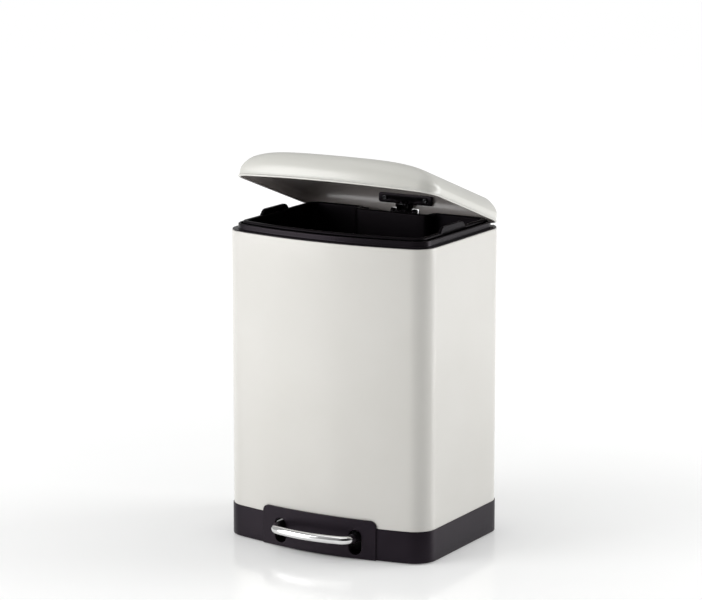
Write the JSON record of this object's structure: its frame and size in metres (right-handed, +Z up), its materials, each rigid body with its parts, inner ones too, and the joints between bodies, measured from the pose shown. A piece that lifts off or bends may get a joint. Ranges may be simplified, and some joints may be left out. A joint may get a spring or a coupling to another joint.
{
  "type": "pedal trash can",
  "caption": "Rectangular household waste bin with bowed front, foot pedal, push rod, rear-hinged domed lid and lift-out inner bucket.",
  "frame": {"origin": "centre of the bounding box in plan, on the floor under the rubber feet", "axes": "+Z up, pedal and bowed front towards -Y, hinge at the back towards +Y, X across the width"},
  "size_m": [0.295, 0.2599, 0.5027],
  "materials": {
    "body_paint": "satin powder coat",
    "lid_paint": "satin powder coat",
    "black_plastic": "satin",
    "panel_plastic": "satin",
    "floor_plastic": "matt",
    "zinc_steel": "zinc plated",
    "rubber": "matt",
    "bracket_steel": "zinc plated",
    "axle_steel": "drawn",
    "clip_steel": "spring steel",
    "lever_steel": "black coat",
    "sleeve_plastic": "satin",
    "chrome_bar": "polished",
    "nylon": "satin",
    "rod_steel": "drawn",
    "nylon_foot": "satin",
    "nylon_head": "satin",
    "collar_plastic": "satin",
    "hinge_steel": "zinc plated",
    "zinc_screw": "zinc plated",
    "pin_steel": "drawn",
    "pin_clip_steel": "spring steel",
    "bracket_plastic": "satin",
    "lid_screw_steel": "zinc plated",
    "crank_steel": "drawn",
    "bucket_plastic": "satin"
  },
  "bodies": {
    "root": {"body_shell": "body_paint", "base_band": "black_plastic", "pedal_panel": "panel_plastic", "base_floor": "floor_plastic", "floor_screws": "zinc_steel", "rubber_feet": "rubber", "axle_brackets": "bracket_steel", "pedal_axle": "axle_steel", "axle_clips": "clip_steel", "rod_guide": "nylon", "top_collar": "collar_plastic", "hinge_bracket": "hinge_steel", "bracket_screws": "zinc_screw", "hinge_pin": "pin_steel", "pin_clip": "pin_clip_steel"},
    "pedal": {"pedal_lever": "lever_steel", "pedal_sleeves": "sleeve_plastic", "pedal_bar": "chrome_bar"},
    "push_rod": {"push_rod": "rod_steel", "rod_foot": "nylon_foot", "rod_head": "nylon_head"},
    "lid": {"lid_shell": "lid_paint", "lid_bracket": "bracket_plastic", "lid_screws": "lid_screw_steel", "crank_pin": "crank_steel"},
    "bucket": {"inner_bucket": "bucket_plastic"}
  },
  "joints": [
    {"name": "lid_hinge", "type": "hinge", "parent": "root", "child": "lid", "pos_m": [0, 0.12323, 0.406], "axis": [-1, 0, 0], "range_deg": [-19.5, 60.5]},
    {"name": "pedal_pivot", "type": "hinge", "parent": "root", "child": "pedal", "pos_m": [0, -0.00033, 0.025], "axis": [1, 0, 0], "range_deg": [-1.91, 5.91]},
    {"name": "rod_slide", "type": "slide", "parent": "root", "child": "push_rod", "axis": [0, 0, 1], "range_m": [-0.00376, 0.01167]},
    {"name": "bucket_lift", "type": "slide", "parent": "root", "child": "bucket", "axis": [0, 0, 1], "range_m": [0, 0.004]}
  ],
  "couplings": [
    {"joint": "pedal_pivot", "follows": "lid_hinge", "ratio": 0.097647},
    {"joint": "rod_slide", "follows": "lid_hinge", "m_per_rad": 0.011049}
  ]
}
